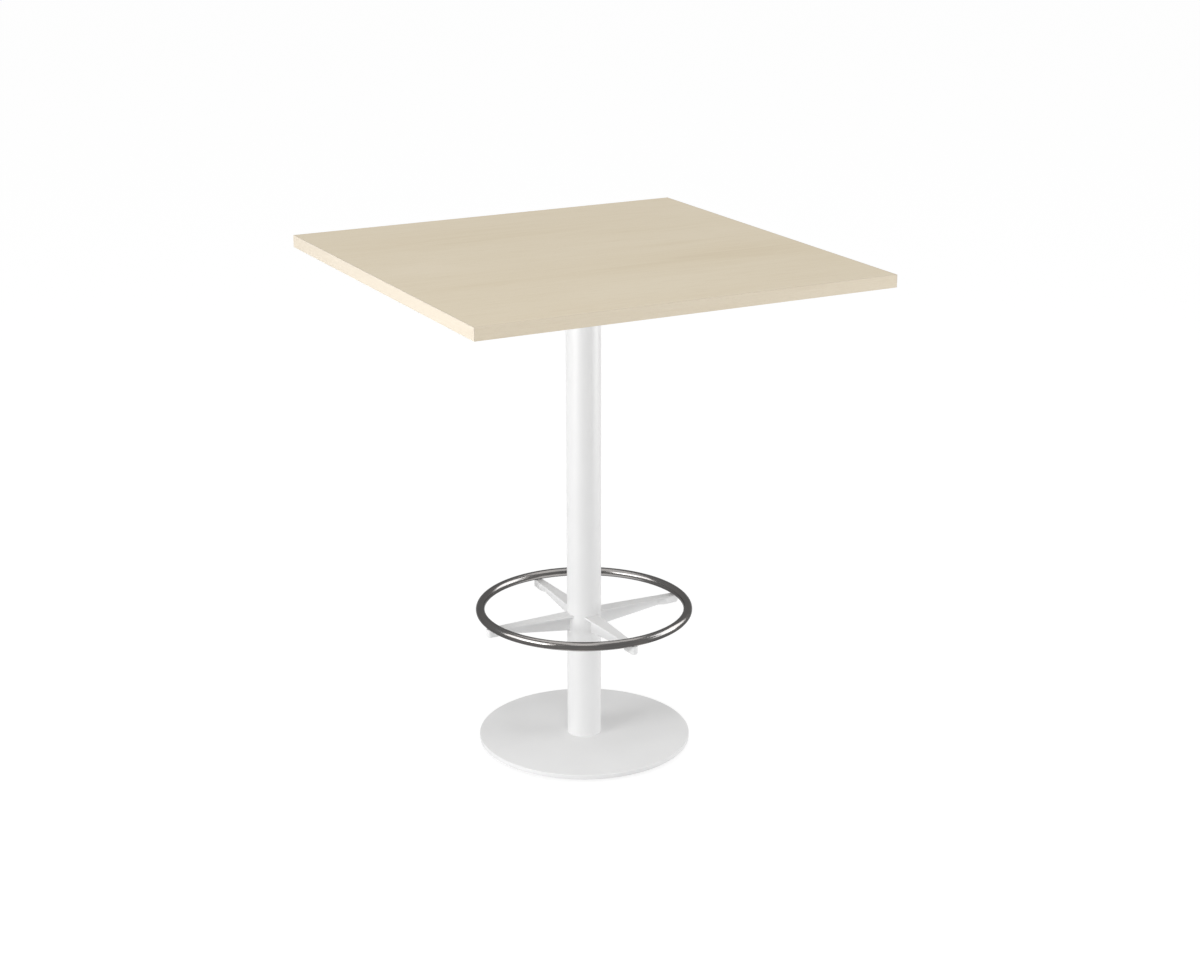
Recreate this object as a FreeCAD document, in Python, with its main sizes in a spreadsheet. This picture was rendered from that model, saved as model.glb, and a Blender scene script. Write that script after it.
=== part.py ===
import FreeCAD, Part
import math
import os
import Sketcher

# A bar-height table: a square laminated top on a round column, a round base plate on levelling glides,
# and a foot rest of one tubular ring on T-section arms.
# The origin is on the floor under the column's axis, X points right, Y points back and Z points up.

# Driving dimensions in millimetres; heights count from the floor.
SIZES = {
    # Table top
    "table_height": 1080,
    "top_side": 914,
    "top_thickness": 26,
    "laminate_thickness": 0.8,
    "edge_band_thickness": 2,
    "edge_band_radius": 0.8,
    # Mounting plate, and the screws and inserts that hold the top to it
    "mount_plate_side": 330,
    "mount_plate_thickness": 6,
    "mount_plate_corner_radius": 24,
    "top_screw_inset": 25,
    "top_screw_diameter": 6,
    "top_screw_head_diameter": 12,
    "top_screw_head_height": 3.4,
    "top_screw_socket_width": 4,
    "insert_diameter": 10,
    "insert_length": 13,
    # Column tube, and the tapped plugs and bolts at its ends
    "column_diameter": 73,
    "column_wall": 2,
    "plug_thickness": 12,
    "plug_bolt_inset": 12.5,
    "plug_bolt_diameter": 8,
    "plug_bolt_head_diameter": 15,
    "plug_bolt_socket_width": 5,
    # Base plate
    "base_diameter": 457,
    "base_thickness": 10,
    "base_edge_radius": 1.5,
    # Levelling glides
    "glide_inset": 33,
    "glide_stem_diameter": 8,
    "glide_hole_floor": 1.5,
    "glide_hex_width": 14,
    "glide_hex_height": 4,
    "glide_spigot_diameter": 6,
    "glide_foot_diameter": 30,
    "glide_foot_height": 5,
    "glide_foot_floor": 2,
    "glide_foot_edge_radius": 1.2,
    # Foot rest ring, and the bushes and screws that hold it
    "ring_height": 307,
    "ring_radius": 223,
    "ring_tube_diameter": 19,
    "ring_wall": 1.5,
    "ring_seat_depth": 1,
    "ring_bush_diameter": 10,
    "ring_bush_length": 8,
    "ring_screw_diameter": 5,
    "ring_screw_head_diameter": 8.5,
    "ring_screw_head_height": 3.5,
    "ring_screw_socket_width": 3,
    "ring_screw_projection": 1,
    "ring_screw_recess": 4,
    # Foot rest arms
    "arm_root_width": 33,
    "arm_tip_width": 16,
    "arm_flange_thickness": 4,
    "arm_web_thickness": 5.5,
    "arm_root_depth": 37,
    "arm_tip_depth": 17.5,
    "arm_tip_length": 4,
    "arm_tip_taper": 38,
    "arm_tip_flat": 40,
    "arm_edge_radius": 1,
    "arm_tip_radius": 2,
    "arm_tab_height": 20,
    "arm_tab_projection": 1,
    # Shared details
    "fit_clearance": 0.1,
    "thread_clearance": 0.05,
    "hole_clearance": 0.4,
    "screw_tip_gap": 1,
    "socket_depth": 2,
    "screw_head_radius": 1.8,
}

# Levels and radii that several pieces share
BASE_BOTTOM = "(sizes.glide_foot_height + sizes.glide_hex_height)"
BASE_TOP = f"({BASE_BOTTOM} + sizes.base_thickness)"
TOP_BOTTOM = "(sizes.table_height - sizes.top_thickness)"
CORE_BOTTOM = f"({TOP_BOTTOM} + sizes.laminate_thickness)"
PLATE_BOTTOM = f"({TOP_BOTTOM} - sizes.mount_plate_thickness)"
BOARD_SIDE = "(sizes.top_side - 2 * sizes.edge_band_thickness)"
COLUMN_RADIUS = "(sizes.column_diameter / 2)"
COLUMN_BORE_RADIUS = f"({COLUMN_RADIUS} - sizes.column_wall)"
PLUG_RADIUS = f"({COLUMN_BORE_RADIUS} - sizes.fit_clearance)"
PLUG_BOLT_CIRCLE = f"({COLUMN_BORE_RADIUS} - sizes.plug_bolt_inset)"
PLUG_BOLT_RADIUS = "(sizes.plug_bolt_diameter / 2)"
COUNTERSINK_DEPTH = "((sizes.plug_bolt_head_diameter - sizes.plug_bolt_diameter) / 2)"
TOP_SCREW_OFFSET = "(sizes.mount_plate_side / 2 - sizes.top_screw_inset)"
INSERT_HOLE_RADIUS = "(sizes.insert_diameter / 2 + sizes.thread_clearance)"
GLIDE_OFFSET = "((sizes.base_diameter / 2 - sizes.glide_inset) / sqrt(2))"
GLIDE_HOLE_DEPTH = "(sizes.base_thickness - sizes.glide_hole_floor)"
SPIGOT_RADIUS = "(sizes.glide_spigot_diameter / 2)"
SPIGOT_HEIGHT = "(sizes.glide_foot_height - sizes.glide_foot_floor)"
RING_TUBE_RADIUS = "(sizes.ring_tube_diameter / 2)"
RING_BUSH_RADIUS = "(sizes.ring_bush_diameter / 2)"
RING_BUSH_BOTTOM = f"(sizes.ring_height - sqrt({RING_TUBE_RADIUS}^2 - {RING_BUSH_RADIUS}^2))"
RING_BUSH_TOP = f"({RING_BUSH_BOTTOM} + sizes.ring_bush_length)"
ARM_TOP = f"(sizes.ring_height - {RING_TUBE_RADIUS} + sizes.ring_seat_depth)"
ARM_TIP_BOTTOM = f"({ARM_TOP} - sizes.arm_tip_depth)"
RING_SCREW_SEAT = f"({ARM_TIP_BOTTOM} + sizes.ring_screw_recess)"
ARM_ROOT_BOTTOM = f"({ARM_TOP} - sizes.arm_root_depth)"
ARM_START = f"(sqrt({COLUMN_RADIUS}^2 - (sizes.arm_root_width / 2)^2) - sizes.column_wall)"
ARM_TAB_BOTTOM = f"({ARM_TOP} - (sizes.arm_root_depth + sizes.arm_tab_height) / 2)"

# Directions of the arms, as turns about Z from +X, and of the glides, as signs of X and Y
ARM_TURNS = {"right": 0, "back": 90, "left": 180, "front": 270}
GLIDE_SIGNS = {1: (1, 1), 2: (-1, 1), 3: (-1, -1), 4: (1, -1)}
QUARTERS = 4
HEXAGON = 6
TOLERANCE = 0.001

doc = FreeCAD.newDocument("pub_table")
sub_parts = []


def make_sheet():
    """The spreadsheet of driving dimensions, one named cell each."""
    sizes = doc.addObject("Spreadsheet::Sheet", "sizes")
    for row, (alias, number) in enumerate(SIZES.items(), 1):
        sizes.set(f"A{row}", alias)
        sizes.set(f"B{row}", str(number))
        sizes.setAlias(f"B{row}", alias)
    doc.recompute()
    return sizes


sheet = make_sheet()


def value(expression):
    return float(sheet.evalExpression(expression))


def new_body(label):
    """A sub-part; a group of like fasteners is one body of separate solids."""
    body = doc.addObject("PartDesign::Body", label)
    body.Label = label
    body.AllowCompound = True
    sub_parts.append(body)
    return body


def origin_feature(body, role):
    return next(feature for feature in body.Origin.OriginFeatures if feature.Role == role)


def bind(feature, expressions):
    for name, expression in expressions.items():
        feature.setExpression(name, expression)


def place(feature, x, y, z):
    bind(feature, {"Placement.Base.x": x, "Placement.Base.y": y, "Placement.Base.z": z})


def new_sketch(body, name, plane, level="0"):
    """A sketch on one of the body's origin planes, shifted along that plane's normal."""
    sketch = body.newObject("Sketcher::SketchObject", name)
    sketch.AttachmentSupport = [(origin_feature(body, plane), "")]
    sketch.MapMode = "FlatFace"
    sketch.setExpression("AttachmentOffset.Base.z", level)
    return sketch


def constrain(sketch, constraint, expression):
    index = sketch.addConstraint(constraint)
    sketch.setExpression(f"Constraints[{index}]", expression)


def pin_point(sketch, geometry, point, x, y):
    """Hold a point of a sketch at its distances from the sketch's origin."""
    constrain(sketch, Sketcher.Constraint("DistanceX", -1, 1, geometry, point, value(x)), x)
    constrain(sketch, Sketcher.Constraint("DistanceY", -1, 1, geometry, point, value(y)), y)


def add_polygon(sketch, corners):
    """A closed outline of straight lines through corners given as pairs of expressions."""
    points = [FreeCAD.Vector(value(x), value(y), 0) for x, y in corners]
    count = len(points)
    lines = [sketch.addGeometry(Part.LineSegment(points[i], points[(i + 1) % count])) for i in range(count)]
    for i in range(count):
        sketch.addConstraint(Sketcher.Constraint("Coincident", lines[i], 2, lines[(i + 1) % count], 1))
        pin_point(sketch, lines[i], 1, *corners[i])


def add_rectangle(sketch, low, high):
    add_polygon(sketch, [low, (high[0], low[1]), high, (low[0], high[1])])


def add_square(sketch, side):
    half = f"({side} / 2)"
    add_rectangle(sketch, (f"-{half}", f"-{half}"), (half, half))


def add_circle(sketch, x, y, radius):
    centre = FreeCAD.Vector(value(x), value(y), 0)
    circle = sketch.addGeometry(Part.Circle(centre, FreeCAD.Vector(0, 0, 1), value(radius)))
    pin_point(sketch, circle, 3, x, y)
    constrain(sketch, Sketcher.Constraint("Radius", circle, value(radius)), radius)


def add_pad(body, sketch, length, reverse=False, symmetric=False):
    pad = body.newObject("PartDesign::Pad", f"{sketch.Name}_pad")
    pad.Profile = sketch
    pad.Reversed = reverse
    if symmetric:
        pad.SideType = "Symmetric"
    pad.setExpression("Length", length)
    return pad


def add_pocket(body, sketch, length, upward=False):
    """A cut along Z from a sketch that lies flat."""
    pocket = body.newObject("PartDesign::Pocket", f"{sketch.Name}_pocket")
    pocket.Profile = sketch
    pocket.Reversed = upward
    pocket.setExpression("Length", length)
    return pocket


def add_box(body, kind, name, low, size):
    box = body.newObject(f"PartDesign::{kind}Box", name)
    bind(box, dict(zip(("Length", "Width", "Height"), size)))
    place(box, *low)
    return box


def add_cylinder(body, kind, name, radius, height, base):
    cylinder = body.newObject(f"PartDesign::{kind}Cylinder", name)
    bind(cylinder, {"Radius": radius, "Height": height})
    place(cylinder, *base)
    return cylinder


def add_cone(body, kind, name, low_radius, high_radius, height, base):
    cone = body.newObject(f"PartDesign::{kind}Cone", name)
    bind(cone, {"Radius1": low_radius, "Radius2": high_radius, "Height": height})
    place(cone, *base)
    return cone


def add_hexagon(body, kind, name, width, height, base):
    """A hexagonal prism given by its width across the flats."""
    prism = body.newObject(f"PartDesign::{kind}Prism", name)
    prism.Polygon = HEXAGON
    bind(prism, {"Circumradius": f"{width} / sqrt(3)", "Height": height})
    place(prism, *base)
    return prism


def add_torus(body, kind, name, tube_radius):
    """A ring on the foot rest's centre line."""
    torus = body.newObject(f"PartDesign::{kind}Torus", name)
    bind(torus, {"Radius1": "sizes.ring_radius", "Radius2": tube_radius})
    place(torus, "0", "0", "sizes.ring_height")
    return torus


def add_fillet(body, feature, wanted, radius):
    """Round those edges of a feature that a test picks."""
    doc.recompute()
    names = [f"Edge{i}" for i, edge in enumerate(feature.Shape.Edges, 1) if wanted(edge)]
    fillet = body.newObject("PartDesign::Fillet", f"{feature.Name}_fillet")
    fillet.Base = (feature, names)
    fillet.setExpression("Radius", radius)
    return fillet


def repeat_round(body, originals=()):
    """Repeat features, or the whole body when none are named, at the four quarters about the Z axis."""
    doc.recompute()
    pattern = body.newObject("PartDesign::PolarPattern", f"{body.Name}_quarters")
    if originals:
        pattern.Originals = list(originals)
    else:
        pattern.TransformMode = "Whole shape"
    pattern.Axis = (origin_feature(body, "Z_Axis"), [""])
    pattern.Angle = 360
    pattern.Occurrences = QUARTERS
    body.Tip = pattern


def lies_at(edge, level):
    """Whether an edge lies flat at a height given by an expression."""
    height = value(level)
    box = edge.BoundBox
    return abs(box.ZMin - height) < TOLERANCE and abs(box.ZMax - height) < TOLERANCE


def top_screw_places():
    """One screw at a corner of the mounting plate and one at the middle of a side; the rest repeat them."""
    return [(TOP_SCREW_OFFSET, TOP_SCREW_OFFSET), (TOP_SCREW_OFFSET, "0")]


def make_board(label, level, thickness, hole_depth):
    """A square layer of the table top, with holes in its underside where the inserts sit."""
    board = new_body(label)
    outline = new_sketch(board, f"{label}_outline", "XY_Plane", level)
    add_square(outline, BOARD_SIDE)
    add_pad(board, outline, thickness)
    if hole_depth:
        holes = new_sketch(board, f"{label}_holes", "XY_Plane", level)
        for x, y in top_screw_places():
            add_circle(holes, x, y, INSERT_HOLE_RADIUS)
        repeat_round(board, [add_pocket(board, holes, hole_depth, upward=True)])


def make_edge_band(label, low, high, inner_side):
    """An upright strip on one side of the top, rounded along its free edges."""
    band = new_body(label)
    outline = new_sketch(band, f"{label}_outline", "XY_Plane", TOP_BOTTOM)
    add_rectangle(outline, low, high)
    pad = add_pad(band, outline, "sizes.top_thickness")
    add_fillet(band, pad, lambda edge: not inner_side(edge.BoundBox), "sizes.edge_band_radius")


def make_edge_bands():
    """The left and right bands run the whole side, and the front and back bands fit between them."""
    half = "(sizes.top_side / 2)"
    board_half = f"({BOARD_SIDE} / 2)"
    inner = value(board_half)

    def touches_board_in_x(box):
        return min(abs(box.XMin), abs(box.XMax)) < inner + TOLERANCE and box.XLength < TOLERANCE

    def touches_board_in_y(box):
        at_board = min(abs(box.YMin), abs(box.YMax)) < inner + TOLERANCE
        upright = box.ZLength > TOLERANCE
        return at_board or upright

    right_low, right_high = (board_half, f"-{half}"), (half, half)
    left_low, left_high = (f"-{half}", f"-{half}"), (f"-{board_half}", half)
    back_low, back_high = (f"-{board_half}", board_half), (board_half, half)
    front_low, front_high = (f"-{board_half}", f"-{half}"), (board_half, f"-{board_half}")
    make_edge_band("edge_band_right", right_low, right_high, touches_board_in_x)
    make_edge_band("edge_band_left", left_low, left_high, touches_board_in_x)
    make_edge_band("edge_band_back", back_low, back_high, touches_board_in_y)
    make_edge_band("edge_band_front", front_low, front_high, touches_board_in_y)


def make_top():
    core_thickness = "sizes.top_thickness - 2 * sizes.laminate_thickness"
    core_top = "(sizes.table_height - sizes.laminate_thickness)"
    core_holes = "sizes.insert_length - sizes.laminate_thickness"
    laminate = "sizes.laminate_thickness"
    make_board("top_core", CORE_BOTTOM, core_thickness, core_holes)
    make_board("top_laminate", core_top, laminate, None)
    make_board("bottom_laminate", TOP_BOTTOM, laminate, laminate)
    make_edge_bands()


def make_top_inserts():
    inserts = new_body("top_inserts")
    radius = "sizes.insert_diameter / 2"
    bore = "sizes.top_screw_diameter / 2 + sizes.thread_clearance"
    length = "sizes.insert_length"
    for i, (x, y) in enumerate(top_screw_places()):
        base = (x, y, TOP_BOTTOM)
        add_cylinder(inserts, "Additive", f"insert_{i}", radius, length, base)
        add_cylinder(inserts, "Subtractive", f"insert_bore_{i}", bore, length, base)
    repeat_round(inserts)


def add_socket_screw(body, name, kind, x, y, seat, length):
    """A screw of one kind that points up from its seat, with a rounded head below and a hexagon socket."""
    diameter = f"sizes.{kind}_diameter"
    head_diameter = f"sizes.{kind}_head_diameter"
    head_height = f"sizes.{kind}_head_height"
    head_bottom = f"({seat} - {head_height})"
    head_base = (x, y, head_bottom)
    place_x, place_y = value(x), value(y)
    reach = value(head_diameter) / 2

    def is_rim(edge):
        centre = edge.BoundBox.Center
        beside = abs(centre.x - place_x) < reach and abs(centre.y - place_y) < reach
        return beside and lies_at(edge, head_bottom)

    head = add_cylinder(body, "Additive", f"{name}_head", f"{head_diameter} / 2", head_height, head_base)
    add_fillet(body, head, is_rim, "sizes.screw_head_radius")
    add_cylinder(body, "Additive", f"{name}_shank", f"{diameter} / 2", length, (x, y, seat))
    socket_width = f"sizes.{kind}_socket_width"
    add_hexagon(body, "Subtractive", f"{name}_socket", socket_width, "sizes.socket_depth", head_base)


def make_top_screws():
    screws = new_body("top_screws")
    length = "sizes.mount_plate_thickness + sizes.insert_length - sizes.screw_tip_gap"
    for i, (x, y) in enumerate(top_screw_places()):
        add_socket_screw(screws, f"top_screw_{i}", "top_screw", x, y, PLATE_BOTTOM, length)
    repeat_round(screws)


def add_countersunk_holes(plate, name, bottom, thickness, head_up):
    """Through holes for the plug bolts, opened to a cone at the face where the heads lie."""
    hole_radius = f"({PLUG_BOLT_RADIUS} + sizes.hole_clearance)"
    head_radius = "(sizes.plug_bolt_head_diameter / 2 + sizes.hole_clearance)"
    axis = (PLUG_BOLT_CIRCLE, "0")
    if head_up:
        cone_base = (*axis, f"({bottom} + {thickness} - {COUNTERSINK_DEPTH})")
        radii = (hole_radius, head_radius)
    else:
        cone_base = (*axis, bottom)
        radii = (head_radius, hole_radius)
    hole = add_cylinder(plate, "Subtractive", f"{name}_hole", hole_radius, thickness, (*axis, bottom))
    cone = add_cone(plate, "Subtractive", f"{name}_cone", *radii, COUNTERSINK_DEPTH, cone_base)
    return [hole, cone]


def make_mount_plate():
    plate = new_body("mounting_plate")
    outline = new_sketch(plate, "mounting_plate_outline", "XY_Plane", PLATE_BOTTOM)
    add_square(outline, "sizes.mount_plate_side")
    pad = add_pad(plate, outline, "sizes.mount_plate_thickness")

    def is_corner(edge):
        return edge.BoundBox.ZLength > TOLERANCE

    add_fillet(plate, pad, is_corner, "sizes.mount_plate_corner_radius")
    holes = new_sketch(plate, "mounting_plate_holes", "XY_Plane", PLATE_BOTTOM)
    for x, y in top_screw_places():
        add_circle(holes, x, y, "sizes.top_screw_diameter / 2 + sizes.hole_clearance")
    pocket = add_pocket(plate, holes, "sizes.mount_plate_thickness", upward=True)
    countersinks = add_countersunk_holes(
        plate, "mounting_plate_bolt", PLATE_BOTTOM, "sizes.mount_plate_thickness", head_up=True
    )
    repeat_round(plate, [pocket, *countersinks])


def make_column():
    """A tube from the base plate to the mounting plate, slotted for the tabs of the foot rest's arms."""
    column = new_body("column_tube")
    section = new_sketch(column, "column_section", "XY_Plane", BASE_TOP)
    add_circle(section, "0", "0", COLUMN_RADIUS)
    add_circle(section, "0", "0", COLUMN_BORE_RADIUS)
    add_pad(column, section, f"{PLATE_BOTTOM} - {BASE_TOP}")
    slot_width = "(sizes.arm_web_thickness + 2 * sizes.fit_clearance)"
    slot_height = "(sizes.arm_tab_height + 2 * sizes.fit_clearance)"
    slot_bottom = f"({ARM_TAB_BOTTOM} - sizes.fit_clearance)"
    across = "(2 * sizes.column_diameter)"
    start = "-sizes.column_diameter"
    side = f"-{slot_width} / 2"
    low_x, size_x = (start, side, slot_bottom), (across, slot_width, slot_height)
    low_y, size_y = (side, start, slot_bottom), (slot_width, across, slot_height)
    add_box(column, "Subtractive", "slot_along_x", low_x, size_x)
    add_box(column, "Subtractive", "slot_along_y", low_y, size_y)


def make_plug(label, bottom):
    """A disc in the end of the tube, tapped for the bolts that come through the plate on it."""
    plug = new_body(label)
    thickness = "sizes.plug_thickness"
    hole_radius = f"{PLUG_BOLT_RADIUS} + sizes.thread_clearance"
    hole_base = (PLUG_BOLT_CIRCLE, "0", bottom)
    add_cylinder(plug, "Additive", f"{label}_disc", PLUG_RADIUS, thickness, ("0", "0", bottom))
    hole = add_cylinder(plug, "Subtractive", f"{label}_hole", hole_radius, thickness, hole_base)
    repeat_round(plug, [hole])


def make_plug_bolts(label, plate_bottom, thickness, head_up):
    """Countersunk bolts, flush in their plate and threaded into the plug behind it."""
    bolts = new_body(label)
    shank = f"({thickness} - {COUNTERSINK_DEPTH} + sizes.plug_thickness - sizes.screw_tip_gap)"
    head_radius = "sizes.plug_bolt_head_diameter / 2"
    if head_up:
        face = f"({plate_bottom} + {thickness})"
        cone_bottom = f"({face} - {COUNTERSINK_DEPTH})"
        shank_bottom = f"({cone_bottom} - {shank})"
        socket_bottom = f"({face} - sizes.socket_depth)"
        radii = (PLUG_BOLT_RADIUS, head_radius)
    else:
        cone_bottom = plate_bottom
        shank_bottom = f"({plate_bottom} + {COUNTERSINK_DEPTH})"
        socket_bottom = plate_bottom
        radii = (head_radius, PLUG_BOLT_RADIUS)
    axis = (PLUG_BOLT_CIRCLE, "0")
    add_cone(bolts, "Additive", f"{label}_head", *radii, COUNTERSINK_DEPTH, (*axis, cone_bottom))
    add_cylinder(bolts, "Additive", f"{label}_shank", PLUG_BOLT_RADIUS, shank, (*axis, shank_bottom))
    socket_width = "sizes.plug_bolt_socket_width"
    socket_base = (*axis, socket_bottom)
    add_hexagon(bolts, "Subtractive", f"{label}_socket", socket_width, "sizes.socket_depth", socket_base)
    repeat_round(bolts)


def make_base_plate():
    """A round plate with softened rims, blind holes for the glides and countersunk holes for the bolts."""
    plate = new_body("base_plate")
    thickness = "sizes.base_thickness"
    radius = "sizes.base_diameter / 2"
    hole_radius = "sizes.glide_stem_diameter / 2 + sizes.thread_clearance"
    hole_base = (GLIDE_OFFSET, GLIDE_OFFSET, BASE_BOTTOM)

    def is_rim(edge):
        return lies_at(edge, BASE_BOTTOM) or lies_at(edge, BASE_TOP)

    disc = add_cylinder(plate, "Additive", "base_disc", radius, thickness, ("0", "0", BASE_BOTTOM))
    add_fillet(plate, disc, is_rim, "sizes.base_edge_radius")
    glide_hole = add_cylinder(plate, "Subtractive", "glide_hole", hole_radius, GLIDE_HOLE_DEPTH, hole_base)
    countersinks = add_countersunk_holes(plate, "base_bolt", BASE_BOTTOM, thickness, head_up=False)
    repeat_round(plate, [glide_hole, *countersinks])


def make_glide_stem(number, at):
    """A threaded stem in the base plate, with a hexagon to turn it by and a spigot for its foot."""
    stem = new_body(f"glide_stem_{number}")
    place(stem, *at)
    stem_length = f"{GLIDE_HOLE_DEPTH} - sizes.screw_tip_gap"
    radius = "sizes.glide_stem_diameter / 2"
    spigot_base = ("0", "0", "sizes.glide_foot_floor")
    hex_base = ("0", "0", "sizes.glide_foot_height")
    hex_height = "sizes.glide_hex_height"
    add_hexagon(stem, "Additive", f"hex_{number}", "sizes.glide_hex_width", hex_height, hex_base)
    add_cylinder(stem, "Additive", f"stem_{number}", radius, stem_length, ("0", "0", BASE_BOTTOM))
    add_cylinder(stem, "Additive", f"spigot_{number}", SPIGOT_RADIUS, SPIGOT_HEIGHT, spigot_base)


def make_glide_foot(number, at):
    """A round foot whose socket turns freely on the stem's spigot."""
    foot = new_body(f"glide_foot_{number}")
    place(foot, *at)
    height = "sizes.glide_foot_height"
    radius = "sizes.glide_foot_diameter / 2"
    socket_radius = f"{SPIGOT_RADIUS} + sizes.thread_clearance"
    socket_base = ("0", "0", "sizes.glide_foot_floor")

    def is_rim(edge):
        return lies_at(edge, "0") or lies_at(edge, height)

    disc = add_cylinder(foot, "Additive", f"foot_{number}", radius, height, ("0", "0", "0"))
    add_fillet(foot, disc, is_rim, "sizes.glide_foot_edge_radius")
    add_cylinder(foot, "Subtractive", f"socket_{number}", socket_radius, SPIGOT_HEIGHT, socket_base)


def make_glides():
    for number, (sign_x, sign_y) in GLIDE_SIGNS.items():
        at = (f"{sign_x} * {GLIDE_OFFSET}", f"{sign_y} * {GLIDE_OFFSET}", "0")
        make_glide_stem(number, at)
        make_glide_foot(number, at)


def make_ring():
    """The foot rest's ring, a tube bent round, with holes in its underside for the bushes."""
    ring = new_body("footrest_ring")
    add_torus(ring, "Additive", "ring_outside", RING_TUBE_RADIUS)
    add_torus(ring, "Subtractive", "ring_bore", f"{RING_TUBE_RADIUS} - sizes.ring_wall")
    ring_bottom = f"(sizes.ring_height - {RING_TUBE_RADIUS})"
    hole_radius = f"{RING_BUSH_RADIUS} + sizes.thread_clearance"
    hole_depth = f"{RING_BUSH_TOP} - {ring_bottom}"
    hole_base = ("sizes.ring_radius", "0", ring_bottom)
    hole = add_cylinder(ring, "Subtractive", "bush_hole", hole_radius, hole_depth, hole_base)
    repeat_round(ring, [hole])


def make_ring_bushes():
    bushes = new_body("ring_bushes")
    bore = "sizes.ring_screw_diameter / 2 + sizes.thread_clearance"
    base = ("sizes.ring_radius", "0", RING_BUSH_BOTTOM)
    add_cylinder(bushes, "Additive", "bush", RING_BUSH_RADIUS, "sizes.ring_bush_length", base)
    add_cylinder(bushes, "Subtractive", "bush_bore", bore, "sizes.ring_bush_length", base)
    repeat_round(bushes)


def make_ring_screws():
    screws = new_body("ring_screws")
    length = f"{RING_BUSH_TOP} + sizes.ring_screw_projection - {RING_SCREW_SEAT}"
    add_socket_screw(screws, "ring_screw", "ring_screw", "sizes.ring_radius", "0", RING_SCREW_SEAT, length)
    repeat_round(screws)


def add_arm_outline(sketch):
    """An arm seen from above: straight sides taper from the column and run tangent into a round tip."""
    start = value(ARM_START)
    root_half = value("sizes.arm_root_width / 2")
    tip_radius = value("sizes.arm_tip_width / 2")
    tip = FreeCAD.Vector(value("sizes.ring_radius"), 0, 0)
    side = FreeCAD.Vector(0, tip_radius, 0)
    left_root = FreeCAD.Vector(start, root_half, 0)
    right_root = FreeCAD.Vector(start, -root_half, 0)
    circle = Part.Circle(tip, FreeCAD.Vector(0, 0, 1), tip_radius)
    quarter_turn = math.pi / 2
    root = sketch.addGeometry(Part.LineSegment(left_root, right_root))
    right = sketch.addGeometry(Part.LineSegment(right_root, tip - side))
    end = sketch.addGeometry(Part.ArcOfCircle(circle, -quarter_turn, quarter_turn))
    left = sketch.addGeometry(Part.LineSegment(tip + side, left_root))
    sketch.addConstraint(Sketcher.Constraint("Coincident", root, 2, right, 1))
    sketch.addConstraint(Sketcher.Constraint("Tangent", right, 2, end, 1))
    sketch.addConstraint(Sketcher.Constraint("Tangent", end, 2, left, 1))
    sketch.addConstraint(Sketcher.Constraint("Coincident", left, 2, root, 1))
    pin_point(sketch, root, 1, ARM_START, "sizes.arm_root_width / 2")
    pin_point(sketch, root, 2, ARM_START, "-sizes.arm_root_width / 2")
    pin_point(sketch, end, 3, "sizes.ring_radius", "0")
    constrain(sketch, Sketcher.Constraint("Radius", end, tip_radius), "sizes.arm_tip_width / 2")


def add_arm_flange(arm, label):
    """The flat top of an arm and the solid block at its tip, with softened edges."""
    block_start = "(sizes.ring_radius - sizes.arm_tip_length)"
    taper_start = f"({block_start} - sizes.arm_tip_taper)"
    relief_depth = "sizes.arm_tip_depth - sizes.arm_flange_thickness"

    def is_side_edge(edge, height):
        return lies_at(edge, height) and edge.BoundBox.XMax > value(ARM_START) + TOLERANCE

    def is_tip_edge(edge):
        return is_side_edge(edge, ARM_TIP_BOTTOM)

    def is_top_edge(edge):
        return is_side_edge(edge, ARM_TOP)

    outline = new_sketch(arm, f"{label}_outline", "XY_Plane", ARM_TOP)
    add_arm_outline(outline)
    block = add_pad(arm, outline, "sizes.arm_tip_depth", reverse=True)
    rounded_tip = add_fillet(arm, block, is_tip_edge, "sizes.arm_tip_radius")
    add_fillet(arm, rounded_tip, is_top_edge, "sizes.arm_edge_radius")
    relief = new_sketch(arm, f"{label}_relief", "XY_Plane", ARM_TIP_BOTTOM)
    for sign in ("", "-"):
        web_side = f"{sign}sizes.arm_web_thickness / 2"
        arm_side = f"{sign}sizes.arm_root_width"
        taper_end = f"{sign}sizes.arm_root_width / 2"
        corners = [("0", web_side), (taper_start, web_side), (block_start, taper_end), (block_start, arm_side)]
        add_polygon(relief, [*corners, ("0", arm_side)])
    add_pocket(arm, relief, relief_depth, upward=True)


def add_arm_web(arm, label):
    """The upright web under an arm, deep at the column and shallow at the tip."""
    inside_flange = f"({ARM_TOP} - sizes.arm_flange_thickness / 2)"
    web = new_sketch(arm, f"{label}_web", "XZ_Plane")
    add_polygon(
        web,
        [
            (ARM_START, inside_flange),
            (ARM_START, ARM_ROOT_BOTTOM),
            (COLUMN_RADIUS, ARM_ROOT_BOTTOM),
            ("sizes.ring_radius - sizes.arm_tip_flat", ARM_TIP_BOTTOM),
            ("sizes.ring_radius", ARM_TIP_BOTTOM),
            ("sizes.ring_radius", inside_flange),
        ],
    )
    add_pad(arm, web, "sizes.arm_web_thickness", symmetric=True)


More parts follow.
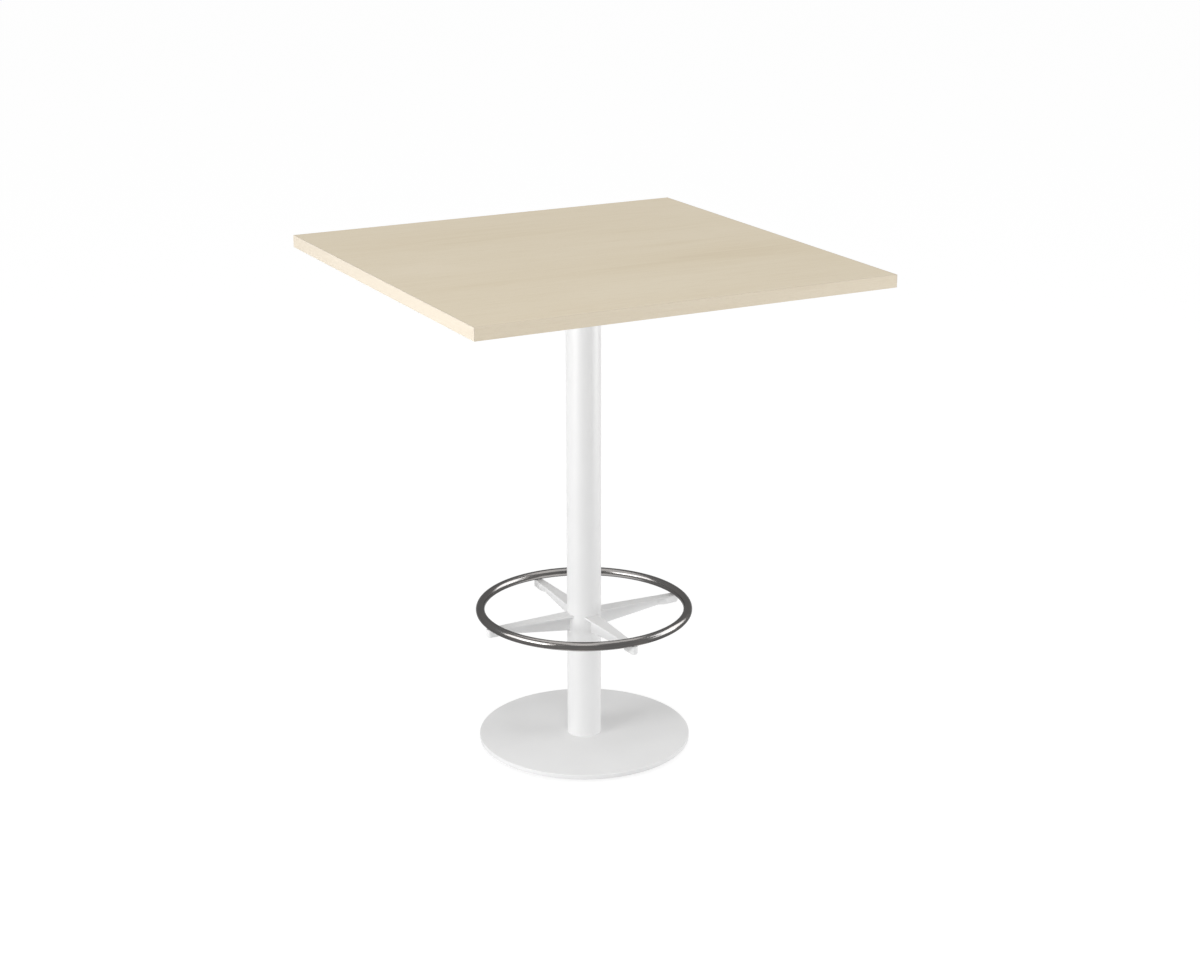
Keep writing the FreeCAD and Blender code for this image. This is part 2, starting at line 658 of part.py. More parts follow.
def add_arm_seats(arm, label):
    """Where an arm meets its neighbours: the column and its slot, the ring, and the ring's screw."""
    column_seat = f"{COLUMN_RADIUS} + sizes.fit_clearance"
    column_base = ("0", "0", f"{ARM_ROOT_BOTTOM} - sizes.arm_root_depth")
    tab_start = f"{COLUMN_BORE_RADIUS} - sizes.arm_tab_projection"
    tab_low = (tab_start, "-sizes.arm_web_thickness / 2", ARM_TAB_BOTTOM)
    tab_length = "2 * (sizes.column_wall + sizes.arm_tab_projection)"
    tab_size = (tab_length, "sizes.arm_web_thickness", "sizes.arm_tab_height")
    column_height = "3 * sizes.arm_root_depth"
    screw_hole = "sizes.ring_screw_diameter / 2 + sizes.hole_clearance"
    screw_base = ("sizes.ring_radius", "0", f"{ARM_TIP_BOTTOM} - sizes.arm_tip_depth")
    screw_height = "3 * sizes.arm_tip_depth"
    head_hole = "sizes.ring_screw_head_diameter / 2 + sizes.hole_clearance"
    head_base = ("sizes.ring_radius", "0", ARM_TIP_BOTTOM)
    add_cylinder(arm, "Subtractive", f"{label}_saddle", column_seat, column_height, column_base)
    add_box(arm, "Additive", f"{label}_tab", tab_low, tab_size)
    add_torus(arm, "Subtractive", f"{label}_ring_seat", f"{RING_TUBE_RADIUS} + sizes.fit_clearance")
    add_cylinder(arm, "Subtractive", f"{label}_screw_hole", screw_hole, screw_height, screw_base)
    add_cylinder(arm, "Subtractive", f"{label}_head_hole", head_hole, "sizes.ring_screw_recess", head_base)


def make_arm(label, turn):
    """A T-section arm, made along +X and turned to its place."""
    arm = new_body(label)
    add_arm_flange(arm, label)
    add_arm_web(arm, label)
    add_arm_seats(arm, label)
    arm.Placement = FreeCAD.Placement(FreeCAD.Vector(), FreeCAD.Rotation(FreeCAD.Vector(0, 0, 1), turn))


def check_document():
    """Stop before writing if any object failed or any sub-part has no valid shape."""
    for item in doc.Objects:
        if "Invalid" in item.State or "Error" in item.State:
            raise RuntimeError(f"{item.Name} failed: {item.getStatusString()}")
    for part in sub_parts:
        if part.Shape.isNull() or not part.Shape.isValid():
            raise RuntimeError(f"{part.Label} has no valid shape")


def main():
    make_top()
    make_top_inserts()
    make_top_screws()
    make_mount_plate()
    make_column()
    make_plug("column_top_plug", f"({PLATE_BOTTOM} - sizes.plug_thickness)")
    make_plug("column_bottom_plug", BASE_TOP)
    make_plug_bolts("column_top_bolts", PLATE_BOTTOM, "sizes.mount_plate_thickness", head_up=True)
    make_plug_bolts("base_bolts", BASE_BOTTOM, "sizes.base_thickness", head_up=False)
    make_base_plate()
    make_glides()
    make_ring()
    make_ring_bushes()
    make_ring_screws()
    for side, turn in ARM_TURNS.items():
        make_arm(f"footrest_arm_{side}", turn)
    doc.recompute()
    check_document()
    os.makedirs("parts", exist_ok=True)
    for part in sub_parts:
        part.Shape.exportStep(os.path.join("parts", f"{part.Label}.step"))


main()
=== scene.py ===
import math

import bmesh
import bpy
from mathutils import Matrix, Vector


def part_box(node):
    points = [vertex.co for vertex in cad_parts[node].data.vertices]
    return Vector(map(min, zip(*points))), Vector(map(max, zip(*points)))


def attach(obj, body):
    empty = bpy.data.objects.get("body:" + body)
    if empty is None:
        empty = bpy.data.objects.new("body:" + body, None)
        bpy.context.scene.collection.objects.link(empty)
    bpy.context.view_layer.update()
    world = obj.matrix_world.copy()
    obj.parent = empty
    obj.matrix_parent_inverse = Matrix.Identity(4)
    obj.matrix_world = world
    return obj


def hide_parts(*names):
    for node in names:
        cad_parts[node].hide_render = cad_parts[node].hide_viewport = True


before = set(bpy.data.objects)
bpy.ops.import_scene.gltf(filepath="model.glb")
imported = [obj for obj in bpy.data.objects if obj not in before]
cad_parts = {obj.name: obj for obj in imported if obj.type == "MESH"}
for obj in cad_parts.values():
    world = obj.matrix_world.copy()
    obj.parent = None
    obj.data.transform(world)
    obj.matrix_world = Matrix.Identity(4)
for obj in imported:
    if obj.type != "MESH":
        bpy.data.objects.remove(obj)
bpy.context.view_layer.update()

# Camera: the photograph's angle, found from the corners of the top and the outlines of the other parts.
CAMERA_LENS_MM = 66.147
CAMERA_SENSOR_MM = 36.0
CAMERA_AZIMUTH_DEG = -27.887
CAMERA_ELEVATION_DEG = 18.017
CAMERA_DISTANCE = 4.653
CAMERA_TARGET = Vector((0.0303, -0.0160, 0.5946))

# Stage and light. A lamp faces the table's axis at the height of its aim, and its shine is the
# brightness of its face, where 1 is white.
FLOOR_HALF = 60.0
FLOOR_TONE = 0.66
FLOOR_GLOW = 0.86
FLOOR_SHADE = 0.22
SKY_LEVEL = 0.574
WHITE = (1.0, 1.0, 1.0, 1.0)
SOFTBOXES = {
    "key_softbox": dict(aim=1.09, azimuth=190.8, elevation=0.0, distance=3.0,
                        width=1.53, height=0.81, shine=13.0),
    "side_softbox": dict(aim=0.49, azimuth=331.8, elevation=0.0, distance=3.0,
                         width=1.74, height=0.71, shine=8.4),
    "high_softbox": dict(aim=0.80, azimuth=242.0, elevation=57.0, distance=7.0,
                         width=2.8, height=2.8, shine=4.0),
}
# These are flagged off everything but the polished ring, which shows them as its highlights: two large
# softboxes, and a dim one each close under the table top and over the base plate. They face its middle.
RING_SOFTBOXES = {
    "ring_key_softbox": dict(azimuth=180.5, elevation=24.0, distance=3.0,
                             width=2.8, height=1.9, shine=9.5),
    "ring_side_softbox": dict(azimuth=347.5, elevation=24.0, distance=3.0,
                              width=2.3, height=1.9, shine=9.5),
    "ring_top_softbox": dict(azimuth=0.0, elevation=90.0, distance=0.73,
                             width=0.9, height=0.9, shine=3.4),
    "ring_base_softbox": dict(azimuth=0.0, elevation=-90.0, distance=0.28,
                              width=0.42, height=0.42, shine=3.2),
}

# Maple: the tones of its pale ground, its deeper bands and its lines, and the axis that its grain follows.
TOP_TONES = ((0.860, 0.762, 0.588, 1.0), (0.815, 0.709, 0.525, 1.0), (0.694, 0.575, 0.394, 1.0))
# Painted shade: the edge bands' tones are shaded copies of the top's maple, lowered most on the left and
# right faces, to make up for how the light falls on each face.
FRONT_SHADED_TONES = ((0.820, 0.734, 0.588, 1.0), (0.780, 0.686, 0.531, 1.0), (0.680, 0.578, 0.416, 1.0))
SIDE_SHADED_TONES = ((0.735, 0.663, 0.557, 1.0), (0.698, 0.620, 0.506, 1.0), (0.620, 0.537, 0.408, 1.0))
ALONG_X = 0
ALONG_Y = 1

# The figure of the top's maple sheet: centre, half length along X, half width and strength of each.
TOP_FIGURES = (
    ((0.27, -0.130), 0.36, 0.110, 1.1),
    ((-0.05, -0.165), 0.26, 0.060, 0.6),
    ((-0.30, -0.160), 0.22, 0.060, 0.5),
    ((0.215, 0.000), 0.15, 0.024, 0.6),
    ((-0.14, 0.260), 0.34, 0.150, 0.5),
    ((0.17, 0.150), 0.16, 0.140, 0.4),
    ((-0.06, -0.320), 0.24, 0.090, -0.7),
    ((-0.33, 0.020), 0.18, 0.090, -0.6),
    ((0.42, 0.300), 0.09, 0.070, -0.5),
)
GLUE_LINE = 0.0003
GLUE_COLOUR = (0.42, 0.34, 0.24, 1.0)

# White coat: how dark its clouds and its grit are, as shares of its white, and how far its gloss varies.
CLOUD_SHARE = 0.97
GRIT_SHARE = 0.88
MATT_SPREAD = 0.08

# Glide stems: a right-hand M8 thread, and a hexagon whose corners are chamfered on both faces.
STEM_SIDES = 72
HEX_WIDTH = 0.014
HEX_FACE_RADIUS = 0.0067
HEX_CHAMFER_SLOPE = math.tan(math.radians(30.0))
THREAD_PITCH = 0.00125
THREAD_RADIUS = 0.00397
THREAD_DEPTH = 0.0007
THREAD_CREST_SHARE = 0.12
THREAD_FLANK_SHARE = 0.73
THREAD_RINGS_PER_TURN = 10
SPIGOT_RADIUS = 0.003
SPIGOT_CHAMFER = 0.0004
SHARP_EDGE_DEG = 25.0

# Half side of the top's maple sheet, read from the frame, and the names of what repeats.
SHEET_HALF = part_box("top_laminate")[1][0]
ARM_NAMES = ("right", "back", "left", "front")
GLIDE_NUMBERS = (1, 2, 3, 4)


class Shader:
    """One procedural material: its node tree, its surface shader and short ways to add nodes."""

    def __init__(self, name, **surface):
        self.material = bpy.data.materials.new(name)
        self.material.use_nodes = True
        self.tree = self.material.node_tree
        self.surface = self.tree.nodes["Principled BSDF"]
        self.place = self.node("ShaderNodeTexCoord").outputs["Object"]
        for socket, value in surface.items():
            self.surface.inputs[socket.replace("_", " ")].default_value = value

    def node(self, kind, **settings):
        made = self.tree.nodes.new(kind)
        for key, value in settings.items():
            setattr(made, key, value)
        return made

    def feed(self, socket, value):
        """Links an output to a socket, or sets the socket where value is a plain number or colour."""
        if isinstance(value, bpy.types.NodeSocket):
            self.tree.links.new(value, socket)
        else:
            socket.default_value = value

    def scaled(self, scale, place=None):
        """Coordinates multiplied by scale along each axis."""
        made = self.node("ShaderNodeMapping")
        made.inputs["Scale"].default_value = scale
        self.feed(made.inputs["Vector"], place or self.place)
        return made.outputs["Vector"]

    def noise(self, place, scale=1.0, detail=4.0, roughness=0.55, distortion=0.0):
        made = self.node("ShaderNodeTexNoise")
        for socket, value in (("Scale", scale), ("Detail", detail),
                              ("Roughness", roughness), ("Distortion", distortion)):
            made.inputs[socket].default_value = value
        self.feed(made.inputs["Vector"], place)
        return made.outputs["Fac"]

    def cells(self, place, scale, output="Distance"):
        made = self.node("ShaderNodeTexVoronoi")
        made.inputs["Scale"].default_value = scale
        self.feed(made.inputs["Vector"], place)
        return made.outputs[output]

    def math(self, operation, first, second=0.0):
        made = self.node("ShaderNodeMath", operation=operation)
        self.feed(made.inputs[0], first)
        self.feed(made.inputs[1], second)
        return made.outputs[0]

    def span(self, value, low, high, to_low=0.0, to_high=1.0, smooth=False):
        """Maps low..high to to_low..to_high and stays inside that range."""
        made = self.node("ShaderNodeMapRange")
        made.interpolation_type = "SMOOTHSTEP" if smooth else "LINEAR"
        for socket, number in (("From Min", low), ("From Max", high),
                               ("To Min", to_low), ("To Max", to_high)):
            made.inputs[socket].default_value = number
        self.feed(made.inputs["Value"], value)
        return made.outputs["Result"]

    def blend(self, share, first, second):
        """Mixes two colours by share. A mix node has its colours at inputs 6 and 7 and at output 2."""
        made = self.node("ShaderNodeMix", data_type="RGBA")
        self.feed(made.inputs[0], share)
        self.feed(made.inputs[6], first)
        self.feed(made.inputs[7], second)
        return made.outputs[2]

    def axes(self, place=None):
        made = self.node("ShaderNodeSeparateXYZ")
        self.feed(made.inputs[0], place or self.place)
        return made.outputs

    def drifted(self, waver, reach):
        """Coordinates that waver by up to the reach, so that what they place gets an uneven outline."""
        made = self.node("ShaderNodeVectorMath", operation="ADD")
        self.feed(made.inputs[0], self.place)
        self.feed(made.inputs[1], self.span(waver, 0.0, 1.0, -reach, reach))
        return made.outputs["Vector"]

    def spot(self, place, centre, reach):
        """1 at the centre, fading to 0 at the reach along X and Y."""
        made = self.node("ShaderNodeMapping")
        made.inputs["Location"].default_value = (-centre[0] / reach[0], -centre[1] / reach[1], 0.0)
        made.inputs["Scale"].default_value = (1.0 / reach[0], 1.0 / reach[1], 0.0)
        self.feed(made.inputs["Vector"], place)
        away = self.node("ShaderNodeVectorMath", operation="LENGTH")
        self.feed(away.inputs[0], made.outputs["Vector"])
        return self.span(away.outputs["Value"], 0.0, 1.0, 1.0, 0.0, smooth=True)

    def square_rim(self, half, width):
        """1 along the rim of a square about the origin, within the given width of it."""
        across = self.axes()
        away = self.math("MAXIMUM", self.math("ABSOLUTE", across[0]), self.math("ABSOLUTE", across[1]))
        return self.span(away, half - width, half - width / 2)

    def bump(self, height, strength, depth):
        made = self.node("ShaderNodeBump")
        made.inputs["Strength"].default_value = strength
        made.inputs["Distance"].default_value = depth
        self.feed(made.inputs["Height"], height)
        self.feed(self.surface.inputs["Normal"], made.outputs["Normal"])

    def finish(self, colour, roughness):
        self.feed(self.surface.inputs["Base Color"], colour)
        self.feed(self.surface.inputs["Roughness"], roughness)
        return self.material


def make_maple(name, along, tones, figures=(), joint=None):
    """Maple: soft clouds and long bands, fine fibres and pores, and any named figures, all with the grain.

    A figure is a centre, a half length, a half width and a strength, which is below 0 where it is paler.
    A joint is the half side of a square sheet, whose edge shows as a hairline of glue.
    """
    shader = Shader(name, Specular_IOR_Level=0.2)
    pale, deep, line = tones

    def grain(share, scale, **settings):
        stretch = [1.0, 1.0, 1.0]
        stretch[along] = share
        return shader.noise(shader.scaled(stretch), scale=scale, **settings)

    clouds = grain(share=0.30, scale=5.0, detail=4.0, roughness=0.55, distortion=0.4)
    bands = grain(share=0.06, scale=42.0, detail=5.0, roughness=0.6, distortion=1.0)
    fibres = grain(share=0.012, scale=900.0, detail=3.0, roughness=0.7)
    pores = grain(share=0.07, scale=2200.0, detail=1.0, roughness=0.4)
    flecks = grain(share=0.05, scale=260.0, detail=3.0, roughness=0.6, distortion=0.3)
    shade = shader.span(clouds, 0.30, 0.70, 0.0, 0.45)
    shade = shader.math("ADD", shade, shader.span(bands, 0.35, 0.70, 0.0, 0.35, smooth=True))
    ragged = shader.span(bands, 0.25, 0.65, 0.45, 1.0)
    for centre, length, width, strength in figures:
        spot = shader.spot(shader.drifted(clouds, width), centre, (length, width))
        spot = shader.math("MULTIPLY", spot, ragged)
        shade = shader.math("ADD", shade, shader.math("MULTIPLY", spot, strength))
    colour = shader.blend(shader.span(shade, 0.0, 1.0), pale, deep)
    colour = shader.blend(shader.span(shade, 0.9, 2.2, 0.0, 0.6), colour, line)
    colour = shader.blend(shader.span(fibres, 0.35, 0.75, 0.0, 0.26), colour, line)
    colour = shader.blend(shader.span(flecks, 0.58, 0.72, 0.0, 0.30), colour, line)
    colour = shader.blend(shader.span(pores, 0.64, 0.72, 0.0, 0.45), colour, line)
    if joint:
        colour = shader.blend(shader.square_rim(joint, GLUE_LINE), colour, GLUE_COLOUR)
    shader.bump(fibres, strength=0.10, depth=0.0001)
    return shader.finish(colour, shader.span(fibres, 0.3, 0.7, 0.50, 0.60))


def grey(level):
    """An opaque grey, from 0, black, to 1, white."""
    return (level, level, level, 1.0)


def make_powder_coat(name, white, sheen, matt):
    """White powder coat: orange peel over the steel, a soft sheen and a faintly uneven tone.

    White is the level of its grey, sheen its specular level and matt its least roughness.
    """
    shader = Shader(name, Specular_IOR_Level=sheen)
    peel = shader.noise(shader.place, scale=650.0, detail=2.0, roughness=0.4)
    grit = shader.noise(shader.place, scale=2600.0, detail=1.0)
    cloud = shader.noise(shader.place, scale=7.0, detail=3.0)
    height = shader.math("ADD", peel, shader.math("MULTIPLY", grit, 0.25))
    shader.bump(height, strength=0.22, depth=0.00025)
    colour = shader.blend(shader.span(cloud, 0.3, 0.7), grey(white), grey(CLOUD_SHARE * white))
    colour = shader.blend(shader.span(grit, 0.62, 0.70, 0.0, 0.10), colour, grey(GRIT_SHARE * white))
    return shader.finish(colour, shader.span(peel, 0.3, 0.7, matt, matt + MATT_SPREAD))


def make_polished_steel():
    """Polished steel written dark, as a painted dark reflection of its surroundings: long fine buffing
    marks round the tube and a slight warm tint in random patches.
    """
    # Painted reflection: all three tones are dark, standing in for the dark surroundings that polished
    # steel would mirror.
    painted_dark_tone = (0.096, 0.094, 0.093, 1.0)
    warm_patch_tone = (0.112, 0.106, 0.102, 1.0)
    buffed = (0.135, 0.132, 0.130, 1.0)
    shader = Shader("polished_steel", Metallic=1.0, Specular_Tint=grey(0.5))
    warm_patches = shader.noise(shader.place, scale=18.0, detail=4.0)
    marks = shader.noise(shader.scaled((1.0, 1.0, 30.0)), scale=90.0, detail=5.0, roughness=0.7)
    colour = shader.blend(shader.span(warm_patches, 0.35, 0.7), painted_dark_tone, warm_patch_tone)
    colour = shader.blend(shader.span(marks, 0.55, 0.8, 0.0, 0.35), colour, buffed)
    shader.bump(marks, strength=0.04, depth=0.00005)
    return shader.finish(colour, shader.span(marks, 0.3, 0.75, 0.14, 0.24))


def make_plated_steel():
    """Zinc plate: small crystals of slightly different grey, and fine wear."""
    dark_crystal = (0.52, 0.52, 0.51, 1.0)
    pale_crystal = (0.66, 0.66, 0.65, 1.0)
    worn = (0.42, 0.41, 0.38, 1.0)
    shader = Shader("plated_steel", Metallic=1.0)
    grains = shader.cells(shader.place, 900.0, "Color")
    tint = shader.axes(grains)[0]
    haze = shader.noise(shader.place, scale=320.0, detail=4.0)
    colour = shader.blend(tint, dark_crystal, pale_crystal)
    colour = shader.blend(shader.span(haze, 0.5, 0.75, 0.0, 0.5), colour, worn)
    shader.bump(haze, strength=0.05, depth=0.00005)
    return shader.finish(colour, shader.span(haze, 0.3, 0.7, 0.28, 0.45))


def make_nylon():
    """Moulded grey nylon: a fine matt grain with a faint flow mark."""
    plain = (0.54, 0.54, 0.54, 1.0)
    flow_mark = (0.46, 0.46, 0.465, 1.0)
    shader = Shader("glide_nylon", Specular_IOR_Level=0.4)
    grain = shader.noise(shader.place, scale=1500.0, detail=2.0)
    flow = shader.noise(shader.place, scale=120.0, detail=3.0, distortion=1.0)
    colour = shader.blend(shader.span(flow, 0.35, 0.7), plain, flow_mark)
    shader.bump(grain, strength=0.15, depth=0.0001)
    return shader.finish(colour, shader.span(grain, 0.3, 0.7, 0.5, 0.62))


def make_backing():
    """Off-white backing laminate: a mottled matt sheet with scattered darker specks."""
    pale = (0.80, 0.78, 0.74, 1.0)
    deep = (0.74, 0.72, 0.68, 1.0)
    speck = (0.45, 0.42, 0.38, 1.0)
    shader = Shader("backing_laminate", Specular_IOR_Level=0.3)
    mottle = shader.noise(shader.place, scale=60.0, detail=5.0)
    specks = shader.noise(shader.place, scale=700.0, detail=1.0)
    colour = shader.blend(shader.span(mottle, 0.3, 0.7), pale, deep)
    colour = shader.blend(shader.span(specks, 0.68, 0.76, 0.0, 0.45), colour, speck)
    shader.bump(specks, strength=0.10, depth=0.0001)
    return shader.finish(colour, shader.span(mottle, 0.3, 0.7, 0.55, 0.68))


def make_core():
    """Raw particle board: pressed chips of several browns."""
    dark_chip = (0.42, 0.30, 0.19, 1.0)
    pale_chip = (0.66, 0.53, 0.36, 1.0)
    fines = (0.36, 0.26, 0.17, 1.0)
    shader = Shader("core_board", Specular_IOR_Level=0.2)
    chips = shader.cells(shader.scaled((1.0, 1.0, 2.5)), 260.0, "Color")
    tint = shader.axes(chips)[0]
    dust = shader.noise(shader.place, scale=900.0, detail=3.0)
    colour = shader.blend(tint, dark_chip, pale_chip)
    colour = shader.blend(shader.span(dust, 0.4, 0.7, 0.0, 0.4), colour, fines)
    shader.bump(dust, strength=0.5, depth=0.0004)
    return shader.finish(colour, shader.span(dust, 0.3, 0.7, 0.75, 0.9))


def dress(material, *names):
    """Gives each named node that material alone."""
    for name in names:
        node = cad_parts[name]
        node.data.materials.clear()
        node.data.materials.append(material)


def dress_nodes():
    """Gives each piece its material, and the glides their threaded stems."""
    dress(make_maple("maple_laminate", ALONG_X, TOP_TONES, TOP_FIGURES, SHEET_HALF), "top_laminate")
    # Painted shade: the edge bands take the shaded copies of the maple, set to how the light falls on
    # their faces.
    dress(make_maple("maple_band_x", ALONG_X, FRONT_SHADED_TONES), "edge_band_front", "edge_band_back")
    dress(make_maple("maple_band_y", ALONG_Y, SIDE_SHADED_TONES), "edge_band_left", "edge_band_right")
    dress(make_core(), "top_core")
    dress(make_backing(), "bottom_laminate")
    dress(make_powder_coat("white_powder_coat", white=0.80, sheen=1.2, matt=0.42),
          "mounting_plate", "column_tube", *(f"footrest_arm_{name}" for name in ARM_NAMES))
    # Painted light: the base plate's coat is the column's white set a little lighter, to make up for the
    # brightness it loses with its lower sheen.
    dress(make_powder_coat("matt_powder_coat", white=0.825, sheen=0.6, matt=0.62), "base_plate")
    dress(make_polished_steel(), "footrest_ring")
    plate = make_plated_steel()
    dress(plate, "top_inserts", "top_screws", "column_top_plug", "column_bottom_plug",
          "column_top_bolts", "base_bolts", "ring_bushes", "ring_screws")
    dress(make_nylon(), *(f"glide_foot_{number}" for number in GLIDE_NUMBERS))
    for number in GLIDE_NUMBERS:
        make_stem(number, plate)


def hexagon_radius(angle):
    """Distance from the axis to the hexagon's side at that angle, with a corner at 0."""
    from_flat = angle % (math.pi / 3) - math.pi / 6
    return HEX_WIDTH / 2 / math.cos(from_flat)


def thread_radius(angle, height, start, end):
    """Radius of the thread's surface. It runs out at both ends of its length."""
    turn = height / THREAD_PITCH - angle / math.tau
    from_crest = abs(2.0 * (turn % 1.0) - 1.0)
    groove = min(max((from_crest - THREAD_CREST_SHARE) / THREAD_FLANK_SHARE, 0.0), 1.0)
    root = THREAD_RADIUS - THREAD_DEPTH
    run_out = root + min(height - start, end - height)
    return min(THREAD_RADIUS - THREAD_DEPTH * groove, run_out)


def stem_rings(low, hex_low, hex_high, high):
    """The stem's skin from its spigot up: each ring gives a radius and a height for an angle."""
    def chamfer_drop(angle):
        return (hexagon_radius(angle) - HEX_FACE_RADIUS) * HEX_CHAMFER_SLOPE

    rings = [
        lambda angle: (SPIGOT_RADIUS - SPIGOT_CHAMFER, low),
        lambda angle: (SPIGOT_RADIUS, low + SPIGOT_CHAMFER),
        lambda angle: (SPIGOT_RADIUS, hex_low),
        lambda angle: (HEX_FACE_RADIUS, hex_low),
        lambda angle: (hexagon_radius(angle), hex_low + chamfer_drop(angle)),
        lambda angle: (hexagon_radius(angle), hex_high - chamfer_drop(angle)),
        lambda angle: (HEX_FACE_RADIUS, hex_high),
    ]
    steps = round((high - hex_high) / THREAD_PITCH * THREAD_RINGS_PER_TURN)
    for step in range(steps + 1):
        height = hex_high + (high - hex_high) * step / steps
        rings.append(lambda angle, height=height: (thread_radius(angle, height, hex_high, high), height))
    return rings


def skin_mesh(name, centre, rings):
    """A closed skin about the upright axis through the centre, with a flat end below and above."""
    angles = [math.tau * side / STEM_SIDES for side in range(STEM_SIDES)]
    skin = bmesh.new()
    loops = []
    for ring in rings:
        loop = []
        for angle in angles:
            radius, height = ring(angle)
            loop.append(skin.verts.new((centre.x + radius * math.cos(angle),
                                        centre.y + radius * math.sin(angle), height)))
        loops.append(loop)
    for below, above in zip(loops, loops[1:]):
        for side in range(STEM_SIDES):
            after = (side + 1) % STEM_SIDES
            skin.faces.new((below[side], below[after], above[after], above[side]))
    skin.faces.new(reversed(loops[0]))
    skin.faces.new(loops[-1])
    mesh = bpy.data.meshes.new(name)
    skin.to_mesh(mesh)
    skin.free()
    mesh.shade_smooth()
    mesh.set_sharp_from_angle(angle=math.radians(SHARP_EDGE_DEG))
    return mesh


def make_stem(number, material):
    """A plated stem with its hexagon and its rolled thread, in place of the plain one."""
    node = f"glide_stem_{number}"
    low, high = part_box(node)
    centre = (Vector(low) + Vector(high)) / 2
    hex_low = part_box(f"glide_foot_{number}")[1][2]
    hex_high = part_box("base_plate")[0][2]
    rings = stem_rings(low[2], hex_low, hex_high, high[2])
    mesh = skin_mesh(f"threaded_stem_{number}", centre, rings)
    mesh.materials.append(material)
    stem = bpy.data.objects.new(mesh.name, mesh)
    bpy.context.scene.collection.objects.link(stem)
    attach(stem, node)
    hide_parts(node)


def towards(azimuth_deg, elevation_deg):
    """Unit vector with that compass angle from +X and that height above the horizon."""
    azimuth = math.radians(azimuth_deg)
    elevation = math.radians(elevation_deg)
    return Vector((math.cos(azimuth) * math.cos(elevation),
                   math.sin(azimuth) * math.cos(elevation),
                   math.sin(elevation)))


def set_facing(thing, place, target):
    """Adds a lamp or camera to the scene in its place, turned to its target."""
    thing.location = place
    thing.rotation_euler = (target - place).to_track_quat("-Z", "Y").to_euler()
    bpy.context.scene.collection.objects.link(thing)


def add_softbox(name, aim, azimuth, elevation, distance, width, height, shine):
    """A soft rectangular lamp that faces the table's axis."""
    target = Vector((0.0, 0.0, aim))
    lamp = bpy.data.lights.new(name, "AREA")
    lamp.shape = "RECTANGLE"
    lamp.size = width
    lamp.size_y = height
    lamp.energy = shine * math.pi * width * height
    thing = bpy.data.objects.new(name, lamp)
    thing.visible_camera = False
    set_facing(thing, target + distance * towards(azimuth, elevation), target)
    return thing


def make_lights():
    """Softboxes for the whole table, then those that light the ring alone."""
    for name, settings in SOFTBOXES.items():
        add_softbox(name, **settings)
    low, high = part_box("footrest_ring")
    ring_only = bpy.data.collections.new("ring_only")
    ring_only.objects.link(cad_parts["footrest_ring"])
    for name, settings in RING_SOFTBOXES.items():
        lamp = add_softbox(name, aim=(low[2] + high[2]) / 2, **settings)
        lamp.light_linking.receiver_collection = ring_only
    # The arms stay out of reflections, so that the ring's highlights run on past them.
    for name in ARM_NAMES:
        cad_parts[f"footrest_arm_{name}"].visible_glossy = False


def seen_directly(nodes, links):
    """1 for rays from the camera, a mirror or a glass, and 0 for the rays that carry light."""
    path = nodes.new("ShaderNodeLightPath")
    total = path.outputs["Is Camera Ray"]
    for output in ("Is Glossy Ray", "Is Transmission Ray"):
        both = nodes.new("ShaderNodeMath")
        both.operation = "MAXIMUM"
        links.new(total, both.inputs[0])
        links.new(path.outputs[output], both.inputs[1])
        total = both.outputs[0]
    return total


def make_world():
    """A plain sky as light, which looks white to the eye and in mirrors."""
    world = bpy.data.worlds.new("studio")
    bpy.context.scene.world = world
    world.use_nodes = True
    nodes, links = world.node_tree.nodes, world.node_tree.links
    sky = nodes["Background"]
    sky.inputs["Color"].default_value = WHITE
    sky.inputs["Strength"].default_value = SKY_LEVEL
    backdrop = nodes.new("ShaderNodeBackground")
    backdrop.inputs["Color"].default_value = WHITE
    backdrop.inputs["Strength"].default_value = 1.0
    mix = nodes.new("ShaderNodeMixShader")
    links.new(seen_directly(nodes, links), mix.inputs[0])
    links.new(sky.outputs[0], mix.inputs[1])
    links.new(backdrop.outputs[0], mix.inputs[2])
    links.new(mix.outputs[0], nodes["World Output"].inputs["Surface"])


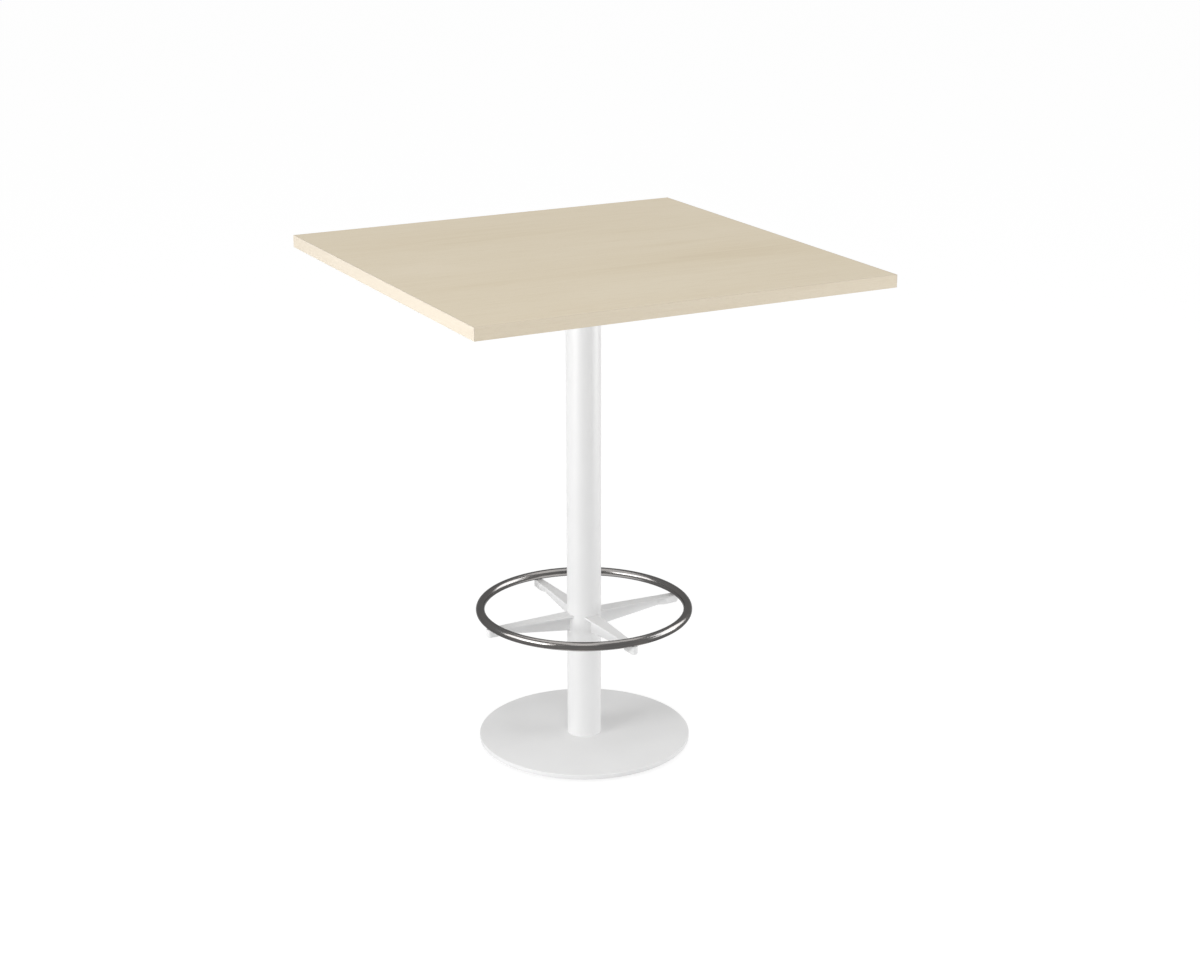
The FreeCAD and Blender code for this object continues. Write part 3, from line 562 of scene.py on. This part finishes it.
def make_floor_material():
    """Pale floor: plain matt grey to the light, and near white with a faint shadow to the eye."""
    material = bpy.data.materials.new("pale_floor")
    material.use_nodes = True
    nodes, links = material.node_tree.nodes, material.node_tree.links
    nodes.clear()
    plain = nodes.new("ShaderNodeBsdfDiffuse")
    plain.inputs["Color"].default_value = grey(FLOOR_TONE)
    shade = nodes.new("ShaderNodeBsdfDiffuse")
    shade.inputs["Color"].default_value = grey(FLOOR_SHADE)
    glow = nodes.new("ShaderNodeEmission")
    glow.inputs["Color"].default_value = WHITE
    glow.inputs["Strength"].default_value = FLOOR_GLOW
    white = nodes.new("ShaderNodeAddShader")
    links.new(shade.outputs[0], white.inputs[0])
    links.new(glow.outputs[0], white.inputs[1])
    seen = seen_directly(nodes, links)
    mix = nodes.new("ShaderNodeMixShader")
    links.new(seen, mix.inputs[0])
    links.new(plain.outputs[0], mix.inputs[1])
    links.new(white.outputs[0], mix.inputs[2])
    # Seen from below, the floor is clear, so the underside of the object can be looked at.
    clear = nodes.new("ShaderNodeBsdfTransparent")
    below = nodes.new("ShaderNodeNewGeometry").outputs["Backfacing"]
    sides = nodes.new("ShaderNodeMixShader")
    links.new(below, sides.inputs[0])
    links.new(mix.outputs[0], sides.inputs[1])
    links.new(clear.outputs[0], sides.inputs[2])
    output = nodes.new("ShaderNodeOutputMaterial")
    links.new(sides.outputs[0], output.inputs["Surface"])
    return material


def make_floor():
    """A level floor that fills the photograph's view."""
    half = FLOOR_HALF
    corners = [(-half, -half, 0.0), (half, -half, 0.0), (half, half, 0.0), (-half, half, 0.0)]
    mesh = bpy.data.meshes.new("floor")
    mesh.from_pydata(corners, [], [(0, 1, 2, 3)])
    mesh.materials.append(make_floor_material())
    floor = bpy.data.objects.new("floor", mesh)
    bpy.context.scene.collection.objects.link(floor)


def make_camera():
    """A camera at the photograph's place and angle."""
    data = bpy.data.cameras.new("camera")
    data.lens = CAMERA_LENS_MM
    data.sensor_fit = "HORIZONTAL"
    data.sensor_width = CAMERA_SENSOR_MM
    camera = bpy.data.objects.new("camera", data)
    back = towards(CAMERA_AZIMUTH_DEG - 90.0, CAMERA_ELEVATION_DEG)
    set_facing(camera, CAMERA_TARGET + CAMERA_DISTANCE * back, CAMERA_TARGET)
    bpy.context.scene.camera = camera


bpy.context.scene.view_settings.view_transform = "Standard"
dress_nodes()
make_world()
make_floor()
make_lights()
make_camera()
